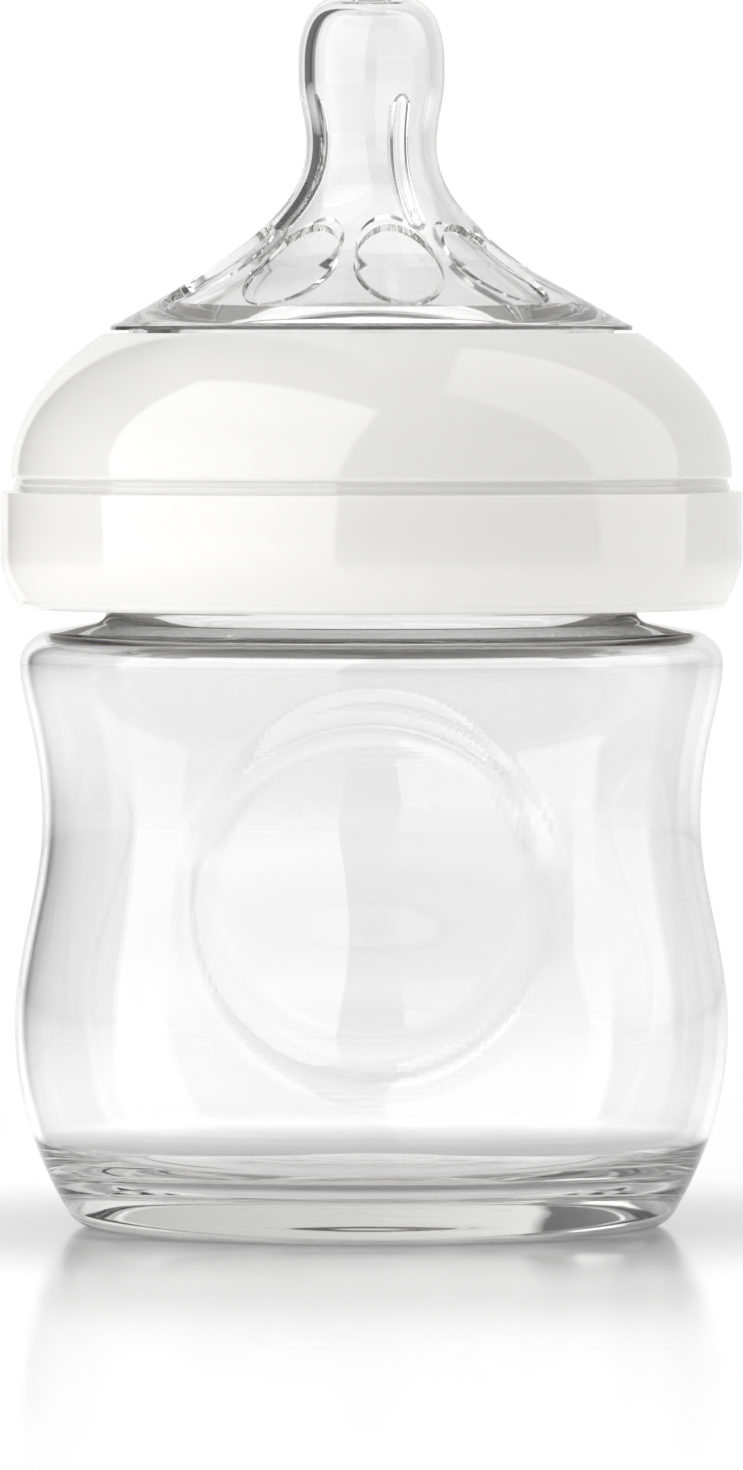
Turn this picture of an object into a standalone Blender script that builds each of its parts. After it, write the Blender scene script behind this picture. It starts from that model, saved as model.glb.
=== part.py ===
"""A wide-neck baby bottle of 125 ml: a waisted clear bottle, a screw ring and a soft teat.

Run it with blender --background --python part.py, or from Blender's text editor.
Metres, +Z up. The origin is the middle of the foot, and the bottle's front faces -Y.
A turned outline is a list of (radius, height) points, and angles run anticlockwise from above.
"""

import math

import bmesh
import bpy
from mathutils import Matrix, Vector

OBJECT_NAME = "baby_bottle"
FULL_TURN = 2 * math.pi
SEGMENTS = 40  # sides of every turned shape
GAP = 0.0003  # clearance between pieces that touch

# Bottle: radii are set outward from the neck, so that a wider neck keeps its shoulder.
NECK_RADIUS = 0.0258
NECK_WALL = 0.0017
NECK_HEIGHT = 0.0243  # from the shoulder's top to the rim
NECK_FILLET = 0.001
RIM_ROUND = 0.0005
BODY_WALL = 0.001
SHOULDER_OVERHANG = 0.00835
SHOULDER_HEIGHT = 0.0547
SHOULDER_CROWN = 0.0031  # from the widest point to where the slope starts
SHOULDER_ROUND = 0.0025
SHOULDER_SLOPE = math.radians(10)
WAIST_INSET = 0.00215
WAIST_HEIGHT = 0.0396
BELLY_SWELL = 0.0027
BELLY_HEIGHT = 0.0196
FOOT_INSET = 0.0077
FOOT_FILLET = 0.003
FOOT_FLARE = math.radians(61)
FOOT_WIDTH = 0.0045
FLOOR_HEIGHT = 0.0048
FLOOR_INSET = 0.0091  # floor's edge, in from the belly
FLOOR_TURN = 0.004  # the inner wall is straight again this far above the floor
PUNT_RISE = 0.0019
RECESS_RISE = 0.0012
RECESS_STEP = 0.00025
RECESS_STEP_RADII = (0.012, 0.007)
DIMPLE_HEIGHT = 0.0323
DIMPLE_RADIUS = 0.0188
DIMPLE_FLOOR_RADIUS = 0.0155
DIMPLE_DEPTH = 0.0014

# Two-start thread, right-handed: turning the ring anticlockwise from above lifts it.
THREAD_STARTS = 2
THREAD_PITCH = 0.0045
THREAD_DEPTH = 0.0016
THREAD_CREST = 0.0009
THREAD_ROOT = 0.0019
THREAD_CLEARANCE = 0.0005
THREAD_FLANK_GAP = 0.0004
THREAD_EMBED = 0.0003
THREAD_RUNOUT = math.radians(45)
BOTTLE_THREAD_TURN = math.radians(345)
BOTTLE_THREAD_DROP = 0.0167  # from the rim to the lower end of the thread
RING_THREAD_TURN = math.radians(285)
RING_THREAD_RISE = 0.0052  # from the ring's lower edge to the lower end of its thread

# Screw ring
RING_WALL = 0.0016
RING_CAVITY = 0.0049  # between the threaded wall and the flange's skin
RING_SKIRT_GAP = 0.00145  # from the shoulder's top to the ring's lower edge
RING_EDGE_ROUND = 0.0008
RING_TAPER = 0.0014  # the flange is this much narrower at its lower edge
RING_TAPER_HEIGHT = 0.0049
FLANGE_HEIGHT = 0.0113
LEDGE_WIDTH = 0.00085
LEDGE_ROUND = 0.00015
COLLAR_INSET = 0.0012
COLLAR_HEIGHT = 0.0008
SNAP_GROOVE_DEPTH = 0.0004  # in from the dome's widest point
SNAP_GROOVE_HEIGHT = 0.0004
DOME_BULGE_HEIGHT = 0.0018  # from the ledge to the dome's widest point
DOME_INSET = 0.001
LIP_THICKNESS = 0.0016
LIP_LAND = 0.0021  # flat top of the lip, out from the hole
LIP_CHAMFER = 0.001  # under the lip, where it meets the threaded wall
INNER_WALL_RISE = 0.0009  # the threaded wall ends this far above the ring's lower edge

# Teat
FLANGE_THICKNESS = 0.0016
FLANGE_CLEARANCE = 0.0012  # to the ring's threaded wall
LOCATING_CLEARANCE = 0.0005  # the locating skirt in the neck
LOCATING_DEPTH = 0.00215
LOCATING_WALL = 0.0014
BASE_WALL = 0.004  # the thick ring between the cone and the flange
BEAD_OVERHANG = 0.00177
BEAD_HEIGHT = 0.0007
CONE_HEIGHT = 0.0182  # from the bead's lower face to the middle of the nipple's neck
CONE_SLOPE = math.radians(29)  # at the bead
CONE_WALL = 0.002
NIPPLE_HEIGHT = 0.0142  # from the middle of the nipple's neck to the tip
NIPPLE_NECK_RADIUS = 0.00633
NIPPLE_BULB_RADIUS = 0.0071
NIPPLE_BULB_HEIGHT = 0.0065
NIPPLE_TIP_FLAT = 0.0028
NIPPLE_WALL = 0.0013
PETALS = 9
PETAL_ANGLE = math.radians(10)
PETAL_WEB = 0.0017  # left between two petals
PETAL_LENGTH = 0.0134
PETAL_MEMBRANE = 0.0008
PETAL_BASE_INSET = 0.0107  # petal's middle, in from the bead's edge
RIBS = 3
RIB_ANGLE = math.radians(30)
RIB_RADIUS = 0.0009
RIB_TOP_DROP = 0.0092  # from the tip to the rib's upper end
RIB_LENGTH = 0.0141
MILK_HOLES = 2
MILK_HOLE_RADIUS = 0.0002
MILK_HOLE_SPACING = 0.0024
VENTS = 2
VENT_CHANNEL_WIDTH = 0.0016
VENT_CHANNEL_DEPTH = 0.0005
VENT_SLIT_WIDTH = 0.0024
VENT_SLIT_HEIGHT = 0.0004

# Worked out from the sizes above
BORE_RADIUS = NECK_RADIUS - NECK_WALL
SHOULDER_RADIUS = NECK_RADIUS + SHOULDER_OVERHANG
WAIST_RADIUS = SHOULDER_RADIUS - WAIST_INSET
BELLY_RADIUS = WAIST_RADIUS + BELLY_SWELL
FOOT_RADIUS = BELLY_RADIUS - FOOT_INSET
FLOOR_RADIUS = BELLY_RADIUS - FLOOR_INSET
SLOPE_WIDTH = SHOULDER_OVERHANG - SHOULDER_ROUND - NECK_FILLET
SHOULDER_TOP = SHOULDER_HEIGHT + SHOULDER_CROWN + SLOPE_WIDTH * math.tan(SHOULDER_SLOPE)
RIM_HEIGHT = SHOULDER_TOP + NECK_HEIGHT
THREAD_LEAD = THREAD_STARTS * THREAD_PITCH
RING_BORE = NECK_RADIUS + THREAD_DEPTH + THREAD_CLEARANCE
RING_INNER_WALL_RADIUS = RING_BORE + RING_WALL
RING_RADIUS = RING_INNER_WALL_RADIUS + RING_CAVITY + RING_WALL
RING_BOTTOM = SHOULDER_TOP + RING_SKIRT_GAP
LEDGE_HEIGHT = RING_BOTTOM + FLANGE_HEIGHT
SKIRT_RADIUS = BORE_RADIUS - LOCATING_CLEARANCE
LIP_RADIUS = SKIRT_RADIUS + GAP
FLANGE_BOTTOM = RIM_HEIGHT + GAP
FLANGE_TOP = FLANGE_BOTTOM + FLANGE_THICKNESS
LIP_BOTTOM = FLANGE_TOP + GAP
LIP_TOP = LIP_BOTTOM + LIP_THICKNESS
BEAD_BOTTOM = LIP_TOP + GAP
FLANGE_RADIUS = RING_BORE - FLANGE_CLEARANCE
BEAD_RADIUS = SKIRT_RADIUS + BEAD_OVERHANG
BASE_BORE = SKIRT_RADIUS - BASE_WALL
NIPPLE_NECK_HEIGHT = BEAD_BOTTOM + CONE_HEIGHT
TIP_HEIGHT = NIPPLE_NECK_HEIGHT + NIPPLE_HEIGHT
BULB_HEIGHT = NIPPLE_NECK_HEIGHT + NIPPLE_BULB_HEIGHT


# ---------------------------------------------------------------- outlines


def bezier(start, start_handle, end_handle, end, steps):
    """Points of a cubic curve, without its first one."""
    corners = [Vector(point) for point in (start, start_handle, end_handle, end)]
    points = []
    for step in range(1, steps + 1):
        t = step / steps
        weights = ((1 - t) ** 3, 3 * t * (1 - t) ** 2, 3 * t * t * (1 - t), t**3)
        point = sum((w * corner for w, corner in zip(weights, corners)), Vector((0, 0)))
        points.append(tuple(point))
    return points


def swell(start, end, start_share, end_share, steps):
    """A curve that is upright at both ends, with handles that are shares of its height."""
    rise = end[1] - start[1]
    handles = (start[0], start[1] + start_share * rise), (end[0], end[1] - end_share * rise)
    return bezier(start, *handles, end, steps)


def corner(start, tip, end, steps, start_share=0.55, end_share=0.55):
    """A rounded corner, with handles that reach these shares of the way to its sharp tip."""
    start_handle = Vector(start).lerp(Vector(tip), start_share)
    end_handle = Vector(end).lerp(Vector(tip), end_share)
    return bezier(start, start_handle, end_handle, end, steps)


def offset_left(points, distances):
    """The points moved to the left of the way they run, each by its own distance."""
    moved = []
    for index, (point, distance) in enumerate(zip(points, distances)):
        before = Vector(points[max(index - 1, 0)])
        after = Vector(points[min(index + 1, len(points) - 1)])
        along = (after - before).normalized()
        moved.append((point[0] - distance * along.y, point[1] + distance * along.x))
    return moved


def body_outline():
    """The bottle's outside, from the foot's flat up to the neck."""
    foot = (FOOT_RADIUS, 0.0)
    flare_end = (
        FOOT_RADIUS + FOOT_FILLET * math.sin(FOOT_FLARE),
        FOOT_FILLET * (1 - math.cos(FOOT_FLARE)),
    )
    points = [foot] + [
        (
            FOOT_RADIUS + FOOT_FILLET * math.sin(FOOT_FLARE * share),
            FOOT_FILLET * (1 - math.cos(FOOT_FLARE * share)),
        )
        for share in (1 / 3, 2 / 3, 1)
    ]
    belly = (BELLY_RADIUS, BELLY_HEIGHT)
    rise = BELLY_HEIGHT - flare_end[1]
    flare_handle = (
        flare_end[0] + 0.11 * rise * math.cos(FOOT_FLARE),
        flare_end[1] + 0.11 * rise * math.sin(FOOT_FLARE),
    )
    belly_handle = (BELLY_RADIUS, BELLY_HEIGHT - 0.54 * rise)
    points += bezier(flare_end, flare_handle, belly_handle, belly, 4)
    waist = (WAIST_RADIUS, WAIST_HEIGHT)
    points += swell(belly, waist, 0.36, 0.36, 6)
    shoulder = (SHOULDER_RADIUS, SHOULDER_HEIGHT)
    points += swell(waist, shoulder, 0.5, 0.25, 5)
    slope_start = (SHOULDER_RADIUS - SHOULDER_ROUND, SHOULDER_HEIGHT + SHOULDER_CROWN)
    slope_tip = (
        SHOULDER_RADIUS,
        slope_start[1] - SHOULDER_ROUND * math.tan(SHOULDER_SLOPE),
    )
    points += corner(shoulder, slope_tip, slope_start, 3, 0.9, 0.05)
    slope_end = (NECK_RADIUS + NECK_FILLET, SHOULDER_TOP)
    neck_tip = (NECK_RADIUS, SHOULDER_TOP + NECK_FILLET * math.tan(SHOULDER_SLOPE))
    points += [slope_end]
    points += corner(slope_end, neck_tip, (NECK_RADIUS, SHOULDER_TOP + NECK_FILLET), 2)
    return points


def bottle_outline():
    """From the middle of the floor up the inside, over the rim, down the outside to the axis."""
    outside = body_outline()
    inside = offset_left(outside, [BODY_WALL] * len(outside))
    wall_start = FLOOR_HEIGHT + FLOOR_TURN
    inside = [p for p in inside if p[1] > wall_start and p[0] > NECK_RADIUS + NECK_FILLET / 2]
    punt = [
        (
            FLOOR_RADIUS * share,
            FLOOR_HEIGHT + PUNT_RISE * (0.5 + 0.5 * math.cos(math.pi * share)),
        )
        for share in (0, 0.2, 0.4, 0.6, 0.8, 1)
    ]
    wall_foot, wall_next = Vector(inside[0]), Vector(inside[1])
    turn = (wall_foot - wall_next).normalized()
    reach = (wall_foot.y - FLOOR_HEIGHT) / -turn.y
    floor_tip = tuple(wall_foot + turn * reach)
    points = punt + corner(punt[-1], floor_tip, inside[0], 4) + inside[1:]
    neck_start = (BORE_RADIUS, SHOULDER_TOP + NECK_FILLET)
    points += corner(points[-1], (BORE_RADIUS, points[-1][1]), neck_start, 2)
    points += rim_outline()
    points += list(reversed(outside))
    foot_inside = FOOT_RADIUS - FOOT_WIDTH
    height = RECESS_RISE * 0.7
    points += [(foot_inside, 0.0), (foot_inside - RECESS_RISE / 2, height)]
    height = RECESS_RISE + RECESS_STEP
    for radius in RECESS_STEP_RADII:
        points += [(radius + RECESS_STEP, height), (radius, height + RECESS_STEP)]
        height += 1.5 * RECESS_STEP
    return points + [(0.0, height)]


def rim_outline():
    """Over the rim from the bore to the outside of the neck."""
    low, top = RIM_HEIGHT - RIM_ROUND, RIM_HEIGHT
    bore, outside = BORE_RADIUS, NECK_RADIUS
    points = [(bore, low)]
    points += corner((bore, low), (bore, top), (bore + RIM_ROUND, top), 2)
    points += [(outside - RIM_ROUND, top)]
    points += corner((outside - RIM_ROUND, top), (outside, top), (outside, low), 2)
    return points


def dome_outline():
    """The ring's dome, from the flat land round its hole down to its widest point."""
    land_end = (LIP_RADIUS + LIP_LAND, LIP_TOP)
    bulge = (RING_RADIUS - DOME_INSET, LEDGE_HEIGHT + DOME_BULGE_HEIGHT)
    bulge_handle = (bulge[0], bulge[1] + 0.62 * (LIP_TOP - bulge[1]))
    return [land_end] + bezier(land_end, land_end, bulge_handle, bulge, 9)


def ring_outline():
    """Down the outside from the lip's land, round the lower edge and up the inside."""
    dome = dome_outline()
    bulge = dome[-1]
    points = [(LIP_RADIUS, LIP_TOP)] + dome
    collar_radius = RING_RADIUS - COLLAR_INSET
    collar_top = LEDGE_HEIGHT + COLLAR_HEIGHT
    groove_radius = bulge[0] - SNAP_GROOVE_DEPTH
    groove_top = collar_top + SNAP_GROOVE_HEIGHT
    points += [(bulge[0] - LEDGE_ROUND, groove_top + LEDGE_ROUND), (groove_radius, groove_top)]
    points += [(groove_radius, collar_top), (collar_radius, collar_top - LEDGE_ROUND)]
    points += [(collar_radius, LEDGE_HEIGHT + LEDGE_ROUND)]
    points += [(RING_RADIUS - LEDGE_WIDTH, LEDGE_HEIGHT), (RING_RADIUS - LEDGE_ROUND, LEDGE_HEIGHT)]
    points += [(RING_RADIUS, LEDGE_HEIGHT - LEDGE_ROUND)]
    taper_start = (RING_RADIUS, RING_BOTTOM + RING_TAPER_HEIGHT)
    taper_handle = (RING_RADIUS, RING_BOTTOM + 0.65 * RING_TAPER_HEIGHT)
    edge_radius = RING_RADIUS - RING_TAPER
    edge_top = (edge_radius, RING_BOTTOM + RING_EDGE_ROUND)
    edge_bottom = (edge_radius - RING_EDGE_ROUND, RING_BOTTOM)
    points += [taper_start] + bezier(taper_start, taper_handle, edge_top, edge_top, 3)
    points += corner(edge_top, (edge_radius, RING_BOTTOM), edge_bottom, 2)
    points += [(edge_radius - RING_WALL, RING_BOTTOM)]
    points += [(bulge[0] - RING_WALL, taper_start[1]), (bulge[0] - RING_WALL, bulge[1])]
    cavity = offset_left(list(reversed(dome)), [RING_WALL] * len(dome))
    points += [p for p in cavity[1:] if p[0] > RING_INNER_WALL_RADIUS + RING_WALL / 2]
    wall_bottom = RING_BOTTOM + INNER_WALL_RISE
    points += [(RING_INNER_WALL_RADIUS, points[-1][1]), (RING_INNER_WALL_RADIUS, wall_bottom)]
    points += [(RING_BORE, wall_bottom), (RING_BORE, LIP_BOTTOM - LIP_CHAMFER)]
    return points + [(RING_BORE - LIP_CHAMFER, LIP_BOTTOM), (LIP_RADIUS, LIP_BOTTOM)]


def teat_outside():
    """The teat's outside from the middle of the tip down to the bead's edge."""
    tip_corner = (NIPPLE_BULB_RADIUS, TIP_HEIGHT)
    bulb = (NIPPLE_BULB_RADIUS, BULB_HEIGHT)
    flat = (NIPPLE_TIP_FLAT, TIP_HEIGHT - 0.00005)
    side = (NIPPLE_BULB_RADIUS, BULB_HEIGHT + 0.0013)
    neck = (NIPPLE_NECK_RADIUS, NIPPLE_NECK_HEIGHT)
    points = [(0.0, TIP_HEIGHT), flat] + corner(flat, tip_corner, side, 5, 0.95, 0.2)
    points += [bulb] + swell(bulb, neck, 0.4, 0.4, 4)
    edge = (BEAD_RADIUS - BEAD_HEIGHT, BEAD_BOTTOM + BEAD_HEIGHT)
    reach = 0.95 * (edge[0] - neck[0])
    handle = (edge[0] - reach * math.cos(CONE_SLOPE), edge[1] + reach * math.sin(CONE_SLOPE))
    points += bezier(neck, (neck[0], neck[1] - 0.28 * CONE_HEIGHT), handle, edge, 9)
    return points + [(BEAD_RADIUS, BEAD_BOTTOM + BEAD_HEIGHT / 2)]


def height_at(outline, radius):
    """The outline's height where it crosses this radius, on its way outward."""
    for (r0, z0), (r1, z1) in zip(outline, outline[1:]):
        if r0 <= radius <= r1 and r1 > r0:
            return z0 + (z1 - z0) * (radius - r0) / (r1 - r0)
    return outline[-1][1]


def teat_inside(outside):
    """The teat's inside from the middle of the tip down to the base ring, thicker in the cone."""
    distances = []
    for radius, _ in outside:
        share = min(max((radius - NIPPLE_BULB_RADIUS) / NIPPLE_BULB_RADIUS, 0), 1)
        distances.append(-NIPPLE_WALL - share * (CONE_WALL - NIPPLE_WALL))
    inside = offset_left(outside, distances)
    kept = [p for p in inside[1:] if p[0] < BASE_BORE - BASE_WALL / 4]
    return [(0.0, TIP_HEIGHT - NIPPLE_WALL)] + kept + [(BASE_BORE, height_at(inside, BASE_BORE))]


def teat_outline():
    """Down the outside, round the groove, flange and locating skirt, and up the inside."""
    outside = teat_outside()
    skirt_bottom = RIM_HEIGHT - LOCATING_DEPTH
    skirt_inside = SKIRT_RADIUS - LOCATING_WALL
    points = list(outside)
    points += [(BEAD_RADIUS, BEAD_BOTTOM), (SKIRT_RADIUS, BEAD_BOTTOM), (SKIRT_RADIUS, FLANGE_TOP)]
    points += [(FLANGE_RADIUS, FLANGE_TOP), (FLANGE_RADIUS, FLANGE_BOTTOM)]
    points += [(SKIRT_RADIUS, FLANGE_BOTTOM), (SKIRT_RADIUS, skirt_bottom + RIM_ROUND)]
    points += [(SKIRT_RADIUS - RIM_ROUND, skirt_bottom), (skirt_inside, skirt_bottom)]
    points += [(skirt_inside, FLANGE_BOTTOM), (BASE_BORE, FLANGE_BOTTOM)]
    return points + list(reversed(teat_inside(outside)))


# ---------------------------------------------------------------- making objects


def make_collections():
    parts = bpy.data.collections.new(OBJECT_NAME)
    cutters = bpy.data.collections.new("cutters")
    for collection in (parts, cutters):
        bpy.context.scene.collection.children.link(collection)
    return parts, cutters


def new_object(name, mesh, collection):
    obj = bpy.data.objects.new(name, mesh)
    collection.objects.link(obj)
    return obj


def make_helper(obj):
    """A cutter or guide, which shows as wires and isn't part of the object."""
    obj.hide_render = True
    obj.display_type = "WIRE"
    return obj


def turned(name, outline, closed, segments, collection):
    """A turned shape: the outline at +X with a Screw modifier round the Z axis."""
    mesh = bpy.data.meshes.new(name)
    points = [(radius, 0.0, height) for radius, height in outline]
    edges = [(i, i + 1) for i in range(len(points) - 1)]
    if closed:
        edges.append((len(points) - 1, 0))
    mesh.from_pydata(points, edges, [])
    obj = new_object(name, mesh, collection)
    screw = obj.modifiers.new("turn", "SCREW")
    screw.axis = "Z"
    screw.steps = segments
    screw.render_steps = segments
    screw.use_merge_vertices = True
    screw.merge_threshold = 0.00001
    screw.use_smooth_shade = True
    return obj


def baked(obj):
    """The object with its modifiers applied to a mesh of its own."""
    bpy.context.view_layer.update()
    graph = bpy.context.evaluated_depsgraph_get()
    mesh = bpy.data.meshes.new_from_object(obj.evaluated_get(graph))
    obj.modifiers.clear()
    obj.data = mesh
    return obj


def boolean(obj, other, operation):
    """Joins, cuts or keeps what the two share, with the exact solver."""
    modifier = obj.modifiers.new(f"{operation.lower()} {other.name}", "BOOLEAN")
    modifier.operation = operation
    modifier.solver = "EXACT"
    modifier.object = other


def mesh_object(name, build, collection):
    """An object whose mesh is what build makes in a bmesh."""
    work = bmesh.new()
    build(work)
    bmesh.ops.recalc_face_normals(work, faces=work.faces)
    mesh = bpy.data.meshes.new(name)
    work.to_mesh(mesh)
    work.free()
    return new_object(name, mesh, collection)


def add_material(obj, colour, roughness, transmission=0.0, ior=1.5):
    material = bpy.data.materials.new(f"{obj.name}_material")
    material.use_nodes = True
    shader = material.node_tree.nodes["Principled BSDF"]
    shader.inputs["Base Color"].default_value = (*colour, 1.0)
    shader.inputs["Roughness"].default_value = roughness
    shader.inputs["Metallic"].default_value = 0.0
    shader.inputs["Transmission Weight"].default_value = transmission
    shader.inputs["IOR"].default_value = ior
    obj.data.materials.append(material)


# ---------------------------------------------------------------- threads


def thread_sections(root_radius, crest_radius, low_height, turn, phase):
    """Sections of one rib along its helix, each of four points. The ends run out to the root."""
    steps = round(turn / FULL_TURN * SEGMENTS)
    runout = max(round(THREAD_RUNOUT / FULL_TURN * SEGMENTS), 1)
    sign = math.copysign(1, crest_radius - root_radius)
    buried = root_radius - sign * THREAD_EMBED
    for step in range(steps + 1):
        height_share = min(1.0, (step + 0.2) / runout, (steps - step + 0.2) / runout)
        angle = phase + step * FULL_TURN / SEGMENTS
        middle = low_height + step * THREAD_LEAD / SEGMENTS
        crest = root_radius + (crest_radius - root_radius) * height_share
        half_crest = THREAD_ROOT / 2 - (THREAD_ROOT - THREAD_CREST) / 2 * height_share
        half_root = THREAD_ROOT / 2
        section = [
            (buried, middle - half_root),
            (crest, middle - half_crest),
            (crest, middle + half_crest),
            (buried, middle + half_root),
        ]
        yield [Vector((r * math.cos(angle), r * math.sin(angle), z)) for r, z in section]


def add_rib(work, sections):
    """One closed rib through its sections, with its two ends capped."""
    rings = [[work.verts.new(point) for point in section] for section in sections]
    for ring, following in zip(rings, rings[1:]):
        for index in range(4):
            beside = (index + 1) % 4
            work.faces.new((ring[index], ring[beside], following[beside], following[index]))
    work.faces.new(rings[0])
    work.faces.new(rings[-1])


def make_thread(name, root_radius, crest_radius, low_height, turn, phase, collection):
    def build(work):
        for start in range(THREAD_STARTS):
            angle = phase + start * FULL_TURN / THREAD_STARTS
            add_rib(work, thread_sections(root_radius, crest_radius, low_height, turn, angle))
        bmesh.ops.triangulate(work, faces=work.faces)

    return make_helper(mesh_object(name, build, collection))


def ring_thread_phase(low_height, bottle_low_height):
    """The angle at which the ring's ribs start, so that they lie under the bottle's ribs."""
    engaged = THREAD_DEPTH - THREAD_CLEARANCE
    flank = (THREAD_ROOT - THREAD_CREST) / THREAD_DEPTH
    spacing = THREAD_ROOT - flank * (THREAD_DEPTH + THREAD_DEPTH - engaged) / 2 + THREAD_FLANK_GAP
    return FULL_TURN * (low_height + spacing - bottle_low_height) / THREAD_LEAD


# ---------------------------------------------------------------- bottle


def dimple_depth(x, z):
    """How far the dimple pushes the wall in at this place, seen from the front."""
    distance = math.hypot(x, z - DIMPLE_HEIGHT)
    share = (DIMPLE_RADIUS - distance) / (DIMPLE_RADIUS - DIMPLE_FLOOR_RADIUS)
    share = min(max(share, 0.0), 1.0)
    return DIMPLE_DEPTH * share * share * (3 - 2 * share)


def press_dimples(mesh):
    """Presses a round dimple into the front and the back, with finer faces on its slope."""
    work = bmesh.new()
    work.from_mesh(mesh)
    slope = DIMPLE_RADIUS - DIMPLE_FLOOR_RADIUS
    middle = DIMPLE_FLOOR_RADIUS + slope / 2
    edges = set()
    for face in work.faces:
        centre = face.calc_center_median()
        if abs(math.hypot(centre.x, centre.z - DIMPLE_HEIGHT) - middle) < slope:
            edges.update(face.edges)
    bmesh.ops.subdivide_edges(work, edges=list(edges), cuts=1, use_grid_fill=True)
    for vertex in work.verts:
        depth = dimple_depth(vertex.co.x, vertex.co.z)
        vertex.co.y -= math.copysign(depth, vertex.co.y)
    bmesh.ops.recalc_face_normals(work, faces=work.faces)
    work.to_mesh(mesh)
    work.free()


def make_bottle(parts, cutters):
    bottle = baked(turned("bottle", bottle_outline(), False, SEGMENTS, parts))
    press_dimples(bottle.data)
    bottle.data.shade_smooth()
    bottle.data.set_sharp_from_angle(angle=math.radians(35))
    crest = NECK_RADIUS + THREAD_DEPTH
    low = RIM_HEIGHT - BOTTLE_THREAD_DROP
    thread = make_thread("bottle_thread", NECK_RADIUS, crest, low, BOTTLE_THREAD_TURN, 0.0, cutters)
    boolean(bottle, thread, "UNION")
    add_material(bottle, (0.94, 0.95, 0.96), 0.05, 1.0, 1.49)


# ---------------------------------------------------------------- screw ring


def make_ring(parts, cutters):
    ring = turned("screw_ring", ring_outline(), True, SEGMENTS, parts)
    low = RING_BOTTOM + RING_THREAD_RISE
    phase = ring_thread_phase(low, RIM_HEIGHT - BOTTLE_THREAD_DROP)
    step = FULL_TURN / SEGMENTS
    low += (round(phase / step) * step - phase) / FULL_TURN * THREAD_LEAD
    phase = round(phase / step) * step
    crest = RING_BORE - THREAD_DEPTH
    thread = make_thread("ring_thread", RING_BORE, crest, low, RING_THREAD_TURN, phase, cutters)
    boolean(ring, thread, "UNION")
    add_material(ring, (0.9, 0.9, 0.89), 0.2)


# ---------------------------------------------------------------- teat


def make_petal_cutter(outside, cutters):
    """Oval plugs square to the cone, kept to the membrane's distance from its outside."""
    radius = BEAD_RADIUS - PETAL_BASE_INSET
    near, far = radius - PETAL_LENGTH / 4, radius + PETAL_LENGTH / 4
    fall = (height_at(outside, near) - height_at(outside, far)) / (far - near)
    tilt = math.atan(fall)
    width = FULL_TURN * radius / PETALS - PETAL_WEB
    depth = 2.6 * CONE_WALL

    def build(work):
        for petal in range(PETALS):
            turn = Matrix.Rotation(PETAL_ANGLE - math.pi / 2 + petal * FULL_TURN / PETALS, 4, "Z")
            place = Matrix.Translation((radius, 0, height_at(outside, radius) - CONE_WALL))
            lean = Matrix.Rotation(tilt, 4, "Y")
            size = Matrix.Diagonal((PETAL_LENGTH, width, depth, 1))
            bmesh.ops.create_cone(
                work,
                cap_ends=True,
                segments=20,
                radius1=0.5,
                radius2=0.5,
                depth=1,
                matrix=turn @ place @ lean @ size,
            )

    cutter = make_helper(mesh_object("petal_cutter", build, cutters))
    skin = offset_left(outside, [-PETAL_MEMBRANE] * len(outside))[1:-1]
    core = [(0.0, skin[0][1])] + skin
    core += [(core[-1][0], FLANGE_BOTTOM), (0.0, FLANGE_BOTTOM)]
    boolean(cutter, make_helper(turned("petal_core", core, False, SEGMENTS, cutters)), "INTERSECT")
    return cutter


def make_rib_tubes(inside, cutters):
    """Stiffening ribs, as tubes half sunk in the inside of the shaft and the cone."""
    top = TIP_HEIGHT - RIB_TOP_DROP
    line = [p for p in inside if top - RIB_LENGTH < p[1] < top]
    curve = bpy.data.curves.new("teat_rib_tubes", "CURVE")
    curve.dimensions = "3D"
    curve.bevel_depth = RIB_RADIUS
    curve.bevel_resolution = 2
    curve.use_fill_caps = True
    for rib in range(RIBS):
        angle = RIB_ANGLE - math.pi / 2 + rib * FULL_TURN / RIBS
        spline = curve.splines.new("POLY")
        spline.points.add(len(line) - 1)
        for point, (radius, height) in zip(spline.points, line):
            point.co = (radius * math.cos(angle), radius * math.sin(angle), height, 1)
    obj = new_object("teat_rib_curve", curve, cutters)
    bpy.context.view_layer.update()
    mesh = bpy.data.meshes.new_from_object(obj.evaluated_get(bpy.context.evaluated_depsgraph_get()))
    bpy.data.objects.remove(obj)
    work = bmesh.new()
    work.from_mesh(mesh)
    bmesh.ops.remove_doubles(work, verts=work.verts, dist=0.000001)
    bmesh.ops.recalc_face_normals(work, faces=work.faces)
    work.to_mesh(mesh)
    work.free()
    return make_helper(new_object("teat_ribs", mesh, cutters))


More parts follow.
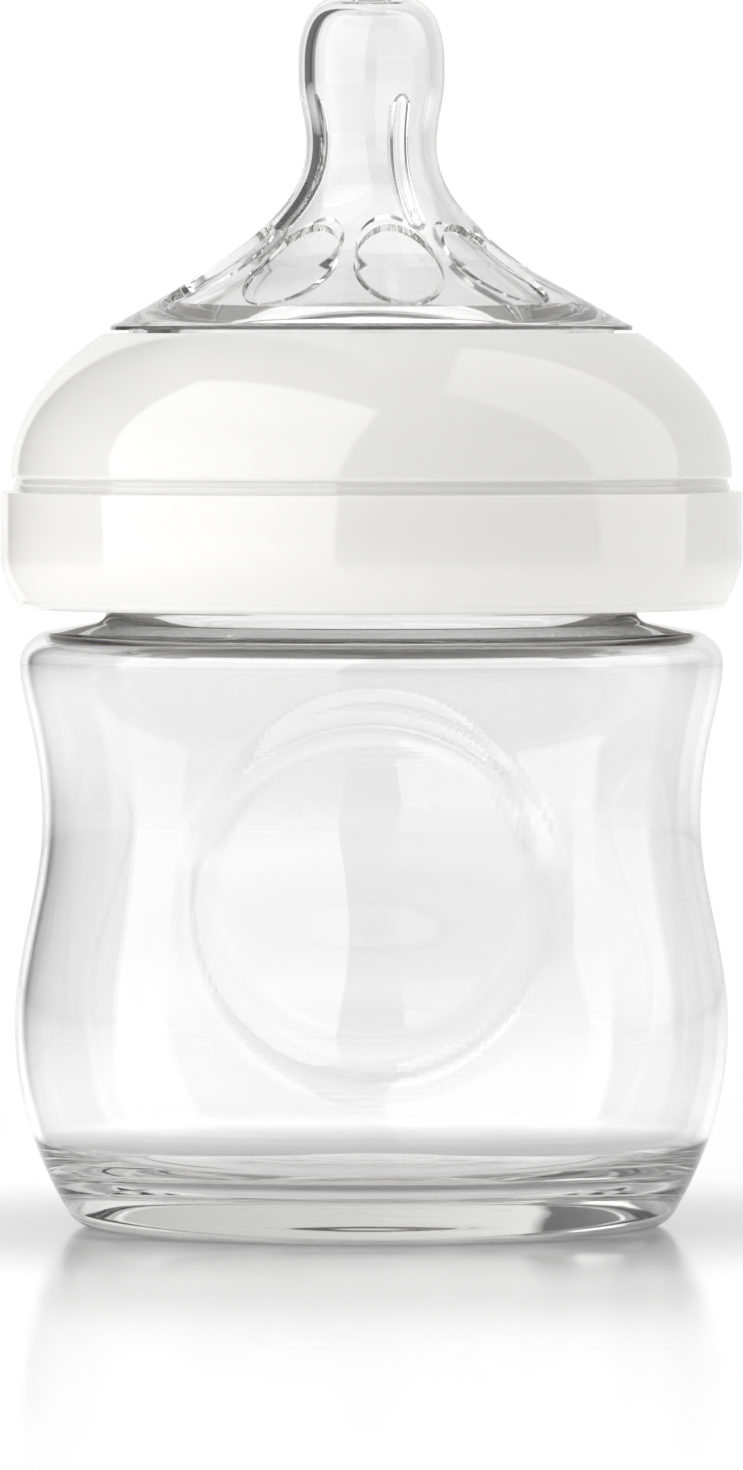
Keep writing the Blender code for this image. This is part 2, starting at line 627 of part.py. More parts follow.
def make_teat_holes(cutters):
    """The milk holes, and the two vents: a channel over the rim and a valve slit in the skirt."""

    def build(work):
        for hole in range(MILK_HOLES):
            x = (hole - (MILK_HOLES - 1) / 2) * MILK_HOLE_SPACING
            bmesh.ops.create_cone(
                work,
                cap_ends=True,
                segments=8,
                radius1=MILK_HOLE_RADIUS,
                radius2=MILK_HOLE_RADIUS,
                depth=4 * NIPPLE_WALL,
                matrix=Matrix.Translation((x, 0, TIP_HEIGHT)),
            )
        slit_height = FLANGE_BOTTOM - LOCATING_DEPTH / 2
        for vent in range(VENTS):
            turn = Matrix.Rotation(vent * FULL_TURN / VENTS, 4, "Z")
            reach = FLANGE_RADIUS - SKIRT_RADIUS
            channel = (2 * reach, VENT_CHANNEL_WIDTH, 2 * VENT_CHANNEL_DEPTH, 1)
            place = Matrix.Translation((SKIRT_RADIUS + 0.9 * reach, 0, FLANGE_BOTTOM))
            bmesh.ops.create_cube(work, size=1, matrix=turn @ place @ Matrix.Diagonal(channel))
            slit = (4 * LOCATING_WALL, VENT_SLIT_WIDTH, VENT_SLIT_HEIGHT, 1)
            place = Matrix.Translation((SKIRT_RADIUS, 0, slit_height))
            bmesh.ops.create_cube(work, size=1, matrix=turn @ place @ Matrix.Diagonal(slit))

    return make_helper(mesh_object("teat_holes", build, cutters))


def make_teat(parts, cutters):
    outside = teat_outside()
    teat = turned("teat", teat_outline(), False, SEGMENTS, parts)
    boolean(teat, make_petal_cutter(outside, cutters), "DIFFERENCE")
    boolean(teat, make_rib_tubes(teat_inside(outside), cutters), "UNION")
    boolean(teat, make_teat_holes(cutters), "DIFFERENCE")
    add_material(teat, (0.96, 0.97, 0.97), 0.12, 0.95, 1.41)


def main():
    for obj in list(bpy.data.objects):
        bpy.data.objects.remove(obj)
    parts, cutters = make_collections()
    make_bottle(parts, cutters)
    make_ring(parts, cutters)
    make_teat(parts, cutters)


main()
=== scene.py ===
"""The looks of the baby bottle: fine turned meshes, clear plastic, clear silicone and white plastic.

Metres, +Z up. The bottle's front faces -Y. A turned outline is a list of (radius, height) points that
runs down the outer side, and angles run anticlockwise from above. Where a size can be read from the
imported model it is; the rest are the offsets that the part is built with.
"""

import math

import bmesh
import bpy
import numpy as np
from mathutils import Matrix, Vector


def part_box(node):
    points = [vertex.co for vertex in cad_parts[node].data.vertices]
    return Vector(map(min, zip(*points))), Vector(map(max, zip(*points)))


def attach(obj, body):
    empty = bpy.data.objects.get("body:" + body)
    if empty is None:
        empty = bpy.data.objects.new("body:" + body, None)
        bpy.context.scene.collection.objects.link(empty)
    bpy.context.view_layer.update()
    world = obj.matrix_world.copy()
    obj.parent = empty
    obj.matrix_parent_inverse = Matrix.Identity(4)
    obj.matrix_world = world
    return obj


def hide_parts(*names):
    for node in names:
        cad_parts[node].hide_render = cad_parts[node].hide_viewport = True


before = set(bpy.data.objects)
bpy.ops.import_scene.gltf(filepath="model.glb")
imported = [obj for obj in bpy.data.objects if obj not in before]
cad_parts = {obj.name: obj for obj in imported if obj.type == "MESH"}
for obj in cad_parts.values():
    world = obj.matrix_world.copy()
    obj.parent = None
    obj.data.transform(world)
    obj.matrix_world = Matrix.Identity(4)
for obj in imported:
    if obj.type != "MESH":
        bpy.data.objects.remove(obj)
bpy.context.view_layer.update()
BOTTLE_LOW, BOTTLE_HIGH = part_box("bottle")
RING_LOW, RING_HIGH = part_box("screw_ring")
TEAT_LOW, TEAT_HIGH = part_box("teat")

FULL_TURN = 2 * math.pi
GAP = 0.0003

# Bottle
BELLY_RADIUS = BOTTLE_HIGH.x
RIM_HEIGHT = BOTTLE_HIGH.z
NECK_RADIUS = BELLY_RADIUS - 0.0089
NECK_WALL = 0.0017
NECK_FILLET = 0.001
RIM_ROUND = 0.0005
BODY_WALL = 0.001
SHOULDER_OVERHANG = 0.00835
SHOULDER_HEIGHT = 0.0547
SHOULDER_CROWN = 0.0031
SHOULDER_ROUND = 0.0025
SHOULDER_SLOPE = math.radians(10)
WAIST_HEIGHT = 0.0396
WAIST_RADIUS = BELLY_RADIUS - 0.0027
BELLY_HEIGHT = 0.0196
FOOT_RADIUS = BELLY_RADIUS - 0.0077
FOOT_FILLET = 0.003
FOOT_FLARE = math.radians(61)
FOOT_WIDTH = 0.0045
FLOOR_HEIGHT = 0.0048
FLOOR_RADIUS = BELLY_RADIUS - 0.0091
FLOOR_TURN = 0.004
PUNT_RISE = 0.0019
RECESS_RISE = 0.0012
RECESS_STEP = 0.00025
RECESS_STEP_RADII = (0.012, 0.007)
DIMPLE_HEIGHT = 0.0323
DIMPLE_RADIUS = 0.0188
DIMPLE_FLOOR_RADIUS = 0.0155
DIMPLE_DEPTH = 0.0014
SHOULDER_RADIUS = NECK_RADIUS + SHOULDER_OVERHANG
SLOPE_WIDTH = SHOULDER_OVERHANG - SHOULDER_ROUND - NECK_FILLET
SHOULDER_TOP = SHOULDER_HEIGHT + SHOULDER_CROWN + SLOPE_WIDTH * math.tan(SHOULDER_SLOPE)

# Thread
THREAD_STARTS = 2
THREAD_LEAD = 0.009
THREAD_DEPTH = 0.0016
THREAD_CREST = 0.0009
THREAD_ROOT = 0.0019
THREAD_CLEARANCE = 0.0005
THREAD_FLANK_GAP = 0.0004
THREAD_RUNOUT = math.radians(45)
BOTTLE_THREAD_TURN = math.radians(345)
BOTTLE_THREAD_LOW = RIM_HEIGHT - 0.0167
RING_THREAD_TURN = math.radians(285)
RING_THREAD_LOW = RING_LOW.z + 0.0052

# Screw ring
RING_RADIUS = RING_HIGH.x
RING_BOTTOM = RING_LOW.z
LIP_TOP = RING_HIGH.z
RING_WALL = 0.0016
RING_BORE = NECK_RADIUS + THREAD_DEPTH + THREAD_CLEARANCE
RING_INNER_WALL_RADIUS = RING_BORE + RING_WALL
LEDGE_HEIGHT = RING_BOTTOM + 0.0113
RING_EDGE_ROUND = 0.0008
RING_TAPER = 0.0014
RING_TAPER_HEIGHT = 0.0049
LEDGE_WIDTH = 0.00085
LEDGE_ROUND = 0.00015
COLLAR_INSET = 0.0012
COLLAR_HEIGHT = 0.0008
SNAP_GROOVE_DEPTH = 0.0004
SNAP_GROOVE_HEIGHT = 0.0004
DOME_BULGE_HEIGHT = 0.0018
DOME_INSET = 0.001
LIP_THICKNESS = 0.0016
LIP_LAND = 0.0021
LIP_CHAMFER = 0.001
INNER_WALL_RISE = 0.0009
LIP_BOTTOM = LIP_TOP - LIP_THICKNESS

# Teat
TIP_HEIGHT = TEAT_HIGH.z
SKIRT_BOTTOM = TEAT_LOW.z
FLANGE_RADIUS = TEAT_HIGH.x
SKIRT_RADIUS = NECK_RADIUS - NECK_WALL - 0.0005
LIP_RADIUS = SKIRT_RADIUS + GAP
FLANGE_BOTTOM = RIM_HEIGHT + GAP
FLANGE_TOP = LIP_BOTTOM - GAP
LOCATING_WALL = 0.0014
BASE_WALL = 0.004
BASE_BORE = SKIRT_RADIUS - BASE_WALL
BEAD_BOTTOM = LIP_TOP + GAP
BEAD_RADIUS = SKIRT_RADIUS + 0.00177
BEAD_HEIGHT = 0.0007
CONE_HEIGHT = 0.0182
CONE_SLOPE = math.radians(29)
CONE_WALL = 0.002
NIPPLE_NECK_HEIGHT = BEAD_BOTTOM + CONE_HEIGHT
NIPPLE_NECK_RADIUS = 0.00633
NIPPLE_BULB_RADIUS = 0.0071
BULB_HEIGHT = NIPPLE_NECK_HEIGHT + 0.0065
NIPPLE_TIP_FLAT = 0.0028
NIPPLE_WALL = 0.0013
PETALS = 9
PETAL_ANGLE = math.radians(10)
PETAL_WEB = 0.0017
PETAL_LENGTH = 0.0134
PETAL_MEMBRANE = 0.0008
PETAL_BASE_INSET = 0.0107
PETAL_SKIN_INNER_RADIUS = 0.008
PETAL_SKIN_TOP = 0.102
RIBS = 3
RIB_ANGLE = math.radians(30)
RIB_RADIUS = 0.0009
RIB_TOP = TIP_HEIGHT - 0.0092
RIB_LENGTH = 0.0141
MILK_HOLE_RADIUS = 0.0002
MILK_HOLE_SPACING = 0.0024
VENT_CHANNEL_WIDTH = 0.0016
VENT_CHANNEL_DEPTH = 0.0005
VENT_SLIT_WIDTH = 0.0024
VENT_SLIT_HEIGHT = 0.0004

# How fine the meshes are
BOTTLE_SEGMENTS = 288
RING_SEGMENTS = 288
TEAT_SEGMENTS = 240
CURVE_STEP = 0.0004
THREAD_STEP = 0.00015

# Materials
CLEAR_PASS = 0.985  # the share of light that a clear surface lets through, seen square on
THICKNESS_GREY = (0.5, 0.49, 0.48, 1)
SATIN_TOP = 0.003  # the underside is dull up to here and polished from the next height up
POLISH_START = 0.005
SATIN_ROUGHNESS = 0.2

# Studio
FLOOR_SIZE = 6
FLOOR_DROP = 0.0001
# painted glow of the floor round the bottle, with a painted shadow ring under the foot's edge
FLOOR_PAINTED_GLOW_UNDER = 0.5
FLOOR_PAINTED_SHADOW = 0.15
FLOOR_PAINTED_GLOW_AROUND = 0.65
FLOOR_GLOW_REACH = 0.08
HAZE_START = 0.06
HAZE_END = 0.3
EYE_DISTANCE = 1.240
EYE_HEIGHT = 0.0867
EYE_AIM_HEIGHT = 0.0477
LENS = 312.4
LIGHT_AIM_HEIGHT = 0.06
BACKDROP_HALF_ANGLE = 23
BACKDROP_EDGE = 25
STUDIO_GREY = 0.12
OVERHEAD_GREY = 0.45
OVERHEAD_START = 0.55
OVERHEAD_FULL = 0.8
BOUNCES = 32


# ---------------------------------------------------------------- outlines


def bezier(start, start_handle, end_handle, end, step=CURVE_STEP):
    """Points of a cubic curve about a step apart, without its first one."""
    corners = [Vector(point) for point in (start, start_handle, end_handle, end)]
    length = sum((b - a).length for a, b in zip(corners, corners[1:]))
    count = max(4, round(length / step))
    points = []
    for index in range(1, count + 1):
        t = index / count
        weights = ((1 - t) ** 3, 3 * t * (1 - t) ** 2, 3 * t * t * (1 - t), t**3)
        points.append(tuple(sum((w * c for w, c in zip(weights, corners)), Vector((0, 0)))))
    return points


def swell(start, end, start_share, end_share):
    """A curve that is upright at both ends, with handles that are shares of its height."""
    rise = end[1] - start[1]
    handles = (start[0], start[1] + start_share * rise), (end[0], end[1] - end_share * rise)
    return bezier(start, *handles, end)


def corner(start, tip, end, start_share=0.55, end_share=0.55, step=CURVE_STEP):
    """A rounded corner, with handles that reach these shares of the way to its sharp tip."""
    start_handle = Vector(start).lerp(Vector(tip), start_share)
    end_handle = Vector(end).lerp(Vector(tip), end_share)
    return bezier(start, start_handle, end_handle, end, step)


def straight(start, end, step):
    """Points along a line about a step apart, without its first one."""
    count = max(1, round((Vector(end) - Vector(start)).length / step))
    return [tuple(Vector(start).lerp(Vector(end), i / count)) for i in range(1, count + 1)]


def offset_left(points, distances):
    """The points moved to the left of the way they run, each by its own distance."""
    moved = []
    for index, (point, distance) in enumerate(zip(points, distances)):
        before = Vector(points[max(index - 1, 0)])
        after = Vector(points[min(index + 1, len(points) - 1)])
        along = (after - before).normalized()
        moved.append((point[0] - distance * along.y, point[1] + distance * along.x))
    return moved


def height_at(outline, radius):
    """The outline's height where it crosses this radius, on its way outward."""
    for (r0, z0), (r1, z1) in zip(outline, outline[1:]):
        if r0 <= radius <= r1 and r1 > r0:
            return z0 + (z1 - z0) * (radius - r0) / (r1 - r0)
    return outline[-1][1]


def body_outline():
    """The bottle's outside, from the foot's flat up to the neck."""
    points = []
    for index in range(13):
        angle = FOOT_FLARE * index / 12
        points.append(
            (FOOT_RADIUS + FOOT_FILLET * math.sin(angle), FOOT_FILLET * (1 - math.cos(angle)))
        )
    flare_end = points[-1]
    rise = BELLY_HEIGHT - flare_end[1]
    flare_handle = (
        flare_end[0] + 0.11 * rise * math.cos(FOOT_FLARE),
        flare_end[1] + 0.11 * rise * math.sin(FOOT_FLARE),
    )
    belly = (BELLY_RADIUS, BELLY_HEIGHT)
    waist = (WAIST_RADIUS, WAIST_HEIGHT)
    shoulder = (SHOULDER_RADIUS, SHOULDER_HEIGHT)
    points += bezier(flare_end, flare_handle, (BELLY_RADIUS, BELLY_HEIGHT - 0.54 * rise), belly)
    points += swell(belly, waist, 0.36, 0.36)
    points += swell(waist, shoulder, 0.5, 0.25)
    slope_start = (SHOULDER_RADIUS - SHOULDER_ROUND, SHOULDER_HEIGHT + SHOULDER_CROWN)
    slope_tip = (SHOULDER_RADIUS, slope_start[1] - SHOULDER_ROUND * math.tan(SHOULDER_SLOPE))
    points += corner(shoulder, slope_tip, slope_start, 0.9, 0.05, CURVE_STEP / 2)
    slope_end = (NECK_RADIUS + NECK_FILLET, SHOULDER_TOP)
    neck_tip = (NECK_RADIUS, SHOULDER_TOP + NECK_FILLET * math.tan(SHOULDER_SLOPE))
    points += straight(slope_start, slope_end, CURVE_STEP)
    neck_foot = (NECK_RADIUS, SHOULDER_TOP + NECK_FILLET)
    points += corner(slope_end, neck_tip, neck_foot, step=CURVE_STEP / 3)
    return points


def bottle_outline():
    """From the middle of the floor up the inside, over the rim, down the outside to the axis."""
    outside = body_outline()
    inside = offset_left(outside, [BODY_WALL] * len(outside))
    wall_start = FLOOR_HEIGHT + FLOOR_TURN
    inside = [p for p in inside if p[1] > wall_start and p[0] > NECK_RADIUS + NECK_FILLET / 2]
    punt = []
    for index in range(61):
        share = index / 60
        rise = PUNT_RISE * (0.5 + 0.5 * math.cos(math.pi * share))
        punt.append((FLOOR_RADIUS * share, FLOOR_HEIGHT + rise))
    wall_foot, wall_next = Vector(inside[0]), Vector(inside[1])
    turn = (wall_foot - wall_next).normalized()
    floor_tip = tuple(wall_foot + turn * (wall_foot.y - FLOOR_HEIGHT) / -turn.y)
    points = punt + corner(punt[-1], floor_tip, inside[0]) + inside[1:]
    bore = NECK_RADIUS - NECK_WALL
    points += corner(points[-1], (bore, points[-1][1]), (bore, SHOULDER_TOP + NECK_FILLET))
    points += straight(points[-1], (bore, RIM_HEIGHT - RIM_ROUND), 0.001)
    points += corner(
        points[-1], (bore, RIM_HEIGHT), (bore + RIM_ROUND, RIM_HEIGHT), step=RIM_ROUND / 6
    )
    points += [(NECK_RADIUS - RIM_ROUND, RIM_HEIGHT)]
    points += corner(
        points[-1],
        (NECK_RADIUS, RIM_HEIGHT),
        (NECK_RADIUS, RIM_HEIGHT - RIM_ROUND),
        step=RIM_ROUND / 6,
    )
    points += straight(points[-1], outside[-1], THREAD_STEP)
    points += list(reversed(outside))[1:]
    foot_inside = FOOT_RADIUS - FOOT_WIDTH
    points += [(foot_inside, 0.0)]
    start = (foot_inside - RECESS_RISE / 2, RECESS_RISE * 0.7)
    points += corner(points[-1], (foot_inside - 0.0003, 0.0), start, step=0.0002)
    height = RECESS_RISE + RECESS_STEP
    for radius in RECESS_STEP_RADII:
        low, high = (radius + RECESS_STEP, height), (radius, height + RECESS_STEP)
        points += straight(points[-1], low, 0.001)
        points += bezier(low, (radius, height), (radius + RECESS_STEP, high[1]), high, 0.0001)
        height += 1.5 * RECESS_STEP
    return points + straight(points[-1], (0.0, height), 0.001)


def dome_outline():
    """The ring's dome, from the flat land round its hole down to its widest point."""
    land_end = (LIP_RADIUS + LIP_LAND, LIP_TOP)
    bulge = (RING_RADIUS - DOME_INSET, LEDGE_HEIGHT + DOME_BULGE_HEIGHT)
    bulge_handle = (bulge[0], bulge[1] + 0.62 * (LIP_TOP - bulge[1]))
    return [land_end] + bezier(land_end, land_end, bulge_handle, bulge)


def ring_outline():
    """Down the outside from the lip's land, round the lower edge and up the inside."""
    dome = dome_outline()
    bulge = dome[-1]
    points = [(LIP_RADIUS, LIP_TOP - 0.0002), (LIP_RADIUS + 0.0002, LIP_TOP)] + dome
    collar_radius = RING_RADIUS - COLLAR_INSET
    collar_top = LEDGE_HEIGHT + COLLAR_HEIGHT
    groove_radius = bulge[0] - SNAP_GROOVE_DEPTH
    groove_top = collar_top + SNAP_GROOVE_HEIGHT
    groove_start = (bulge[0] - LEDGE_ROUND, groove_top + LEDGE_ROUND)
    points += bezier(bulge, (bulge[0], groove_start[1]), groove_start, groove_start, 0.0001)
    points += [(groove_radius, groove_top), (groove_radius, collar_top)]
    points += [(collar_radius, collar_top - LEDGE_ROUND), (collar_radius, LEDGE_HEIGHT + LEDGE_ROUND)]
    points += [(RING_RADIUS - LEDGE_WIDTH, LEDGE_HEIGHT)]
    edge = (RING_RADIUS - LEDGE_ROUND, LEDGE_HEIGHT)
    below = (RING_RADIUS, LEDGE_HEIGHT - LEDGE_ROUND)
    points += [edge] + corner(edge, (RING_RADIUS, LEDGE_HEIGHT), below, step=0.00004)
    taper_start = (RING_RADIUS, RING_BOTTOM + RING_TAPER_HEIGHT)
    taper_handle = (RING_RADIUS, RING_BOTTOM + 0.65 * RING_TAPER_HEIGHT)
    edge_radius = RING_RADIUS - RING_TAPER
    edge_top = (edge_radius, RING_BOTTOM + RING_EDGE_ROUND)
    edge_bottom = (edge_radius - RING_EDGE_ROUND, RING_BOTTOM)
    points += [taper_start] + bezier(taper_start, taper_handle, edge_top, edge_top)
    points += corner(edge_top, (edge_radius, RING_BOTTOM), edge_bottom, step=0.0001)
    points += [(edge_radius - RING_WALL, RING_BOTTOM)]
    points += [(bulge[0] - RING_WALL, taper_start[1]), (bulge[0] - RING_WALL, bulge[1])]
    cavity = offset_left(list(reversed(dome)), [RING_WALL] * len(dome))
    points += [p for p in cavity[1:] if p[0] > RING_INNER_WALL_RADIUS + RING_WALL / 2]
    wall_bottom = RING_BOTTOM + INNER_WALL_RISE
    points += [(RING_INNER_WALL_RADIUS, points[-1][1]), (RING_INNER_WALL_RADIUS, wall_bottom)]
    points += [(RING_BORE, wall_bottom)]
    points += straight(points[-1], (RING_BORE, LIP_BOTTOM - LIP_CHAMFER), THREAD_STEP)
    return points + [(RING_BORE - LIP_CHAMFER, LIP_BOTTOM), (LIP_RADIUS, LIP_BOTTOM)]


def teat_outside():
    """The teat's outside from the middle of the tip down to the bead's edge."""
    flat = (NIPPLE_TIP_FLAT, TIP_HEIGHT - 0.00005)
    bulb = (NIPPLE_BULB_RADIUS, BULB_HEIGHT)
    side = (NIPPLE_BULB_RADIUS, BULB_HEIGHT + 0.0013)
    neck = (NIPPLE_NECK_RADIUS, NIPPLE_NECK_HEIGHT)
    points = [(0.0, TIP_HEIGHT)] + bezier(
        (0.0, TIP_HEIGHT), (NIPPLE_TIP_FLAT / 2, TIP_HEIGHT), (NIPPLE_TIP_FLAT * 0.8, flat[1]), flat
    )
    points += corner(flat, (NIPPLE_BULB_RADIUS, TIP_HEIGHT), side, 0.95, 0.2, CURVE_STEP / 2)
    points += straight(side, bulb, CURVE_STEP) + swell(bulb, neck, 0.4, 0.4)
    edge = (BEAD_RADIUS - BEAD_HEIGHT, BEAD_BOTTOM + BEAD_HEIGHT)
    reach = 0.95 * (edge[0] - neck[0])
    handle = (edge[0] - reach * math.cos(CONE_SLOPE), edge[1] + reach * math.sin(CONE_SLOPE))
    points += bezier(neck, (neck[0], neck[1] - 0.28 * CONE_HEIGHT), handle, edge)
    end = (BEAD_RADIUS, BEAD_BOTTOM + BEAD_HEIGHT / 2)
    return points + corner(edge, (BEAD_RADIUS, edge[1] - 0.0002), end, step=0.0001)


def teat_inside(outside):
    """The teat's inside from the middle of the tip down to the base ring, thicker in the cone."""
    distances = []
    for radius, _ in outside:
        share = min(max((radius - NIPPLE_BULB_RADIUS) / NIPPLE_BULB_RADIUS, 0), 1)
        distances.append(-NIPPLE_WALL - share * (CONE_WALL - NIPPLE_WALL))
    inside = offset_left(outside, distances)
    kept = [p for p in inside[1:] if p[0] < BASE_BORE - 0.0002]
    return [(0.0, TIP_HEIGHT - NIPPLE_WALL)] + kept + [(BASE_BORE, height_at(inside, BASE_BORE))]


def teat_outline():
    """Down the outside, round the groove, flange and locating skirt, and up the inside."""
    outside = teat_outside()
    skirt_inside = SKIRT_RADIUS - LOCATING_WALL
    points = list(outside)
    points += [(BEAD_RADIUS, BEAD_BOTTOM), (SKIRT_RADIUS, BEAD_BOTTOM), (SKIRT_RADIUS, FLANGE_TOP)]
    points += [(FLANGE_RADIUS, FLANGE_TOP), (FLANGE_RADIUS, FLANGE_BOTTOM)]
    points += [(SKIRT_RADIUS, FLANGE_BOTTOM), (SKIRT_RADIUS, SKIRT_BOTTOM + RIM_ROUND)]
    points += corner(
        points[-1],
        (SKIRT_RADIUS, SKIRT_BOTTOM),
        (SKIRT_RADIUS - RIM_ROUND, SKIRT_BOTTOM),
        step=0.0001,
    )
    points += [(skirt_inside, SKIRT_BOTTOM), (skirt_inside, FLANGE_BOTTOM)]
    points += [(BASE_BORE, FLANGE_BOTTOM)]
    return points + list(reversed(teat_inside(outside)))


# ---------------------------------------------------------------- meshes


def new_piece(name, mesh):
    piece = bpy.data.objects.new(name, mesh)
    bpy.context.scene.collection.objects.link(piece)
    return piece


def turned(name, outline, segments, closed=False, shaped=None):
    """The outline turned round the Z axis. shaped moves the points, given as arrays of x, y and z."""
    on_axis_first, on_axis_last = outline[0][0] == 0, outline[-1][0] == 0
    rows = outline[on_axis_first : len(outline) - on_axis_last]
    radius, height = (np.array(values)[:, None] for values in zip(*rows))
    angle = np.arange(segments)[None] * FULL_TURN / segments
    x, y = radius * np.cos(angle), radius * np.sin(angle)
    z = height + 0 * angle
    if shaped:
        x, y, z = shaped(x, y, z)
    points = np.stack([x, y, z], -1).reshape(-1, 3).tolist()
    count = len(rows)
    here = np.arange(count if closed else count - 1)[:, None] * segments + np.arange(segments)
    beside = np.roll(here, -1, 1)
    below = count * segments if closed else 0
    under = (here + segments) % below if closed else here + segments
    under_beside = (beside + segments) % below if closed else beside + segments
    faces = np.stack([here, under, under_beside, beside], -1).reshape(-1, 4).tolist()
    around = range(segments)
    if on_axis_first:
        points.append([0, 0, outline[0][1]])
        faces += [[len(points) - 1, i, (i + 1) % segments] for i in around]
    if on_axis_last:
        points.append([0, 0, outline[-1][1]])
        last = (count - 1) * segments
        faces += [[len(points) - 1, last + (i + 1) % segments, last + i] for i in around]
    mesh = bpy.data.meshes.new(name)
    mesh.from_pydata(points, [], faces)
    return new_piece(name, mesh)


def smooth(piece, sharp_degrees=30):
    piece.data.shade_smooth()
    piece.data.set_sharp_from_angle(angle=math.radians(sharp_degrees))


def apply_modifiers(piece):
    bpy.context.view_layer.update()
    graph = bpy.context.evaluated_depsgraph_get()
    mesh = bpy.data.meshes.new_from_object(piece.evaluated_get(graph))
    piece.modifiers.clear()
    piece.data = mesh


def boolean(piece, other, operation):
    """Applies one exact Boolean and removes the other mesh."""
    modifier = piece.modifiers.new(operation, "BOOLEAN")
    modifier.operation = operation
    modifier.solver = "EXACT"
    modifier.object = other
    apply_modifiers(piece)
    bpy.data.objects.remove(other)


def built(name, build):
    """A mesh object made by build in a bmesh."""
    work = bmesh.new()
    build(work)
    bmesh.ops.recalc_face_normals(work, faces=work.faces)
    mesh = bpy.data.meshes.new(name)
    work.to_mesh(mesh)
    work.free()
    return new_piece(name, mesh)


def thread_height(x, y, z, low, turn, phase):
    """How far the ribs stand off the wall at each point."""
    height = 0 * z
    angle = np.arctan2(y, x)
    for start in range(THREAD_STARTS):
        along = (angle - phase - start * FULL_TURN / THREAD_STARTS) % FULL_TURN
        ends = np.clip(np.minimum(along, turn - along) / THREAD_RUNOUT + 0.04, 0, 1)
        off = np.abs(z - low - THREAD_LEAD * along / FULL_TURN)
        flank = np.clip((THREAD_ROOT / 2 - off) / ((THREAD_ROOT - THREAD_CREST) / 2), 0, 1)
        rib = np.where(along <= turn, np.minimum(flank, ends), 0)
        height = np.maximum(height, THREAD_DEPTH * rib)
    return height


def dimple_depth(x, z):
    """How far the dimples push the wall in at this place, seen from the front."""
    distance = np.hypot(x, z - DIMPLE_HEIGHT)
    share = (DIMPLE_RADIUS - distance) / (DIMPLE_RADIUS - DIMPLE_FLOOR_RADIUS)
    share = np.clip(share, 0, 1)
    return DIMPLE_DEPTH * share * share * (3 - 2 * share)


def shape_bottle(x, y, z):
    """Adds the dimples and the neck's thread to the turned bottle."""
    y = y - np.sign(y) * dimple_depth(x, z)
    radius = np.hypot(x, y)
    on_neck = (np.abs(radius - NECK_RADIUS) < 0.00001) & (z > SHOULDER_TOP)
    rise = np.where(on_neck, thread_height(x, y, z, BOTTLE_THREAD_LOW, BOTTLE_THREAD_TURN, 0.0), 0)
    grow = 1 + rise / np.maximum(radius, 0.001)
    return x * grow, y * grow, z


def ring_thread_place():
    """The lower height and the start angle of the ring's ribs, which lie under the bottle's."""
    flank = (THREAD_ROOT - THREAD_CREST) / THREAD_DEPTH
    engaged = THREAD_DEPTH - THREAD_CLEARANCE
    spacing = THREAD_ROOT - flank * (2 * THREAD_DEPTH - engaged) / 2 + THREAD_FLANK_GAP
    phase = FULL_TURN * (RING_THREAD_LOW + spacing - BOTTLE_THREAD_LOW) / THREAD_LEAD
    return RING_THREAD_LOW, phase


def shape_ring(x, y, z):
    """Adds the thread to the ring's bore."""
    radius = np.hypot(x, y)
    low, phase = ring_thread_place()
    in_bore = np.abs(radius - RING_BORE) < 0.00001
    rise = np.where(in_bore, thread_height(x, y, z, low, RING_THREAD_TURN, phase), 0)
    shrink = 1 - rise / radius
    return x * shrink, y * shrink, z


def make_petal_cutter(outside):
    """Oval plugs square to the cone, kept to the membrane's distance from its outside."""
    radius = BEAD_RADIUS - PETAL_BASE_INSET
    near, far = radius - PETAL_LENGTH / 4, radius + PETAL_LENGTH / 4
    tilt = math.atan((height_at(outside, near) - height_at(outside, far)) / (far - near))
    width = FULL_TURN * radius / PETALS - PETAL_WEB

    def build(work):
        for petal in range(PETALS):
            turn = Matrix.Rotation(PETAL_ANGLE - math.pi / 2 + petal * FULL_TURN / PETALS, 4, "Z")
            place = Matrix.Translation((radius, 0, height_at(outside, radius) - CONE_WALL))
            lean = Matrix.Rotation(tilt, 4, "Y")
            size = Matrix.Diagonal((PETAL_LENGTH, width, 2.6 * CONE_WALL, 1))
            bmesh.ops.create_cone(
                work,
                cap_ends=True,
                segments=96,
                radius1=0.5,
                radius2=0.5,
                depth=1,
                matrix=turn @ place @ lean @ size,
            )

    cutter = built("petal_cutter", build)
    skin = offset_left(outside, [-PETAL_MEMBRANE] * len(outside))[1:-1]
    skin = [p for p in skin if p[0] > PETAL_SKIN_INNER_RADIUS and p[1] < PETAL_SKIN_TOP]
    core = [(0.0, skin[0][1])] + skin + [(skin[-1][0], FLANGE_BOTTOM), (0.0, FLANGE_BOTTOM)]
    boolean(cutter, turned("petal_core", core, TEAT_SEGMENTS), "INTERSECT")
    return cutter


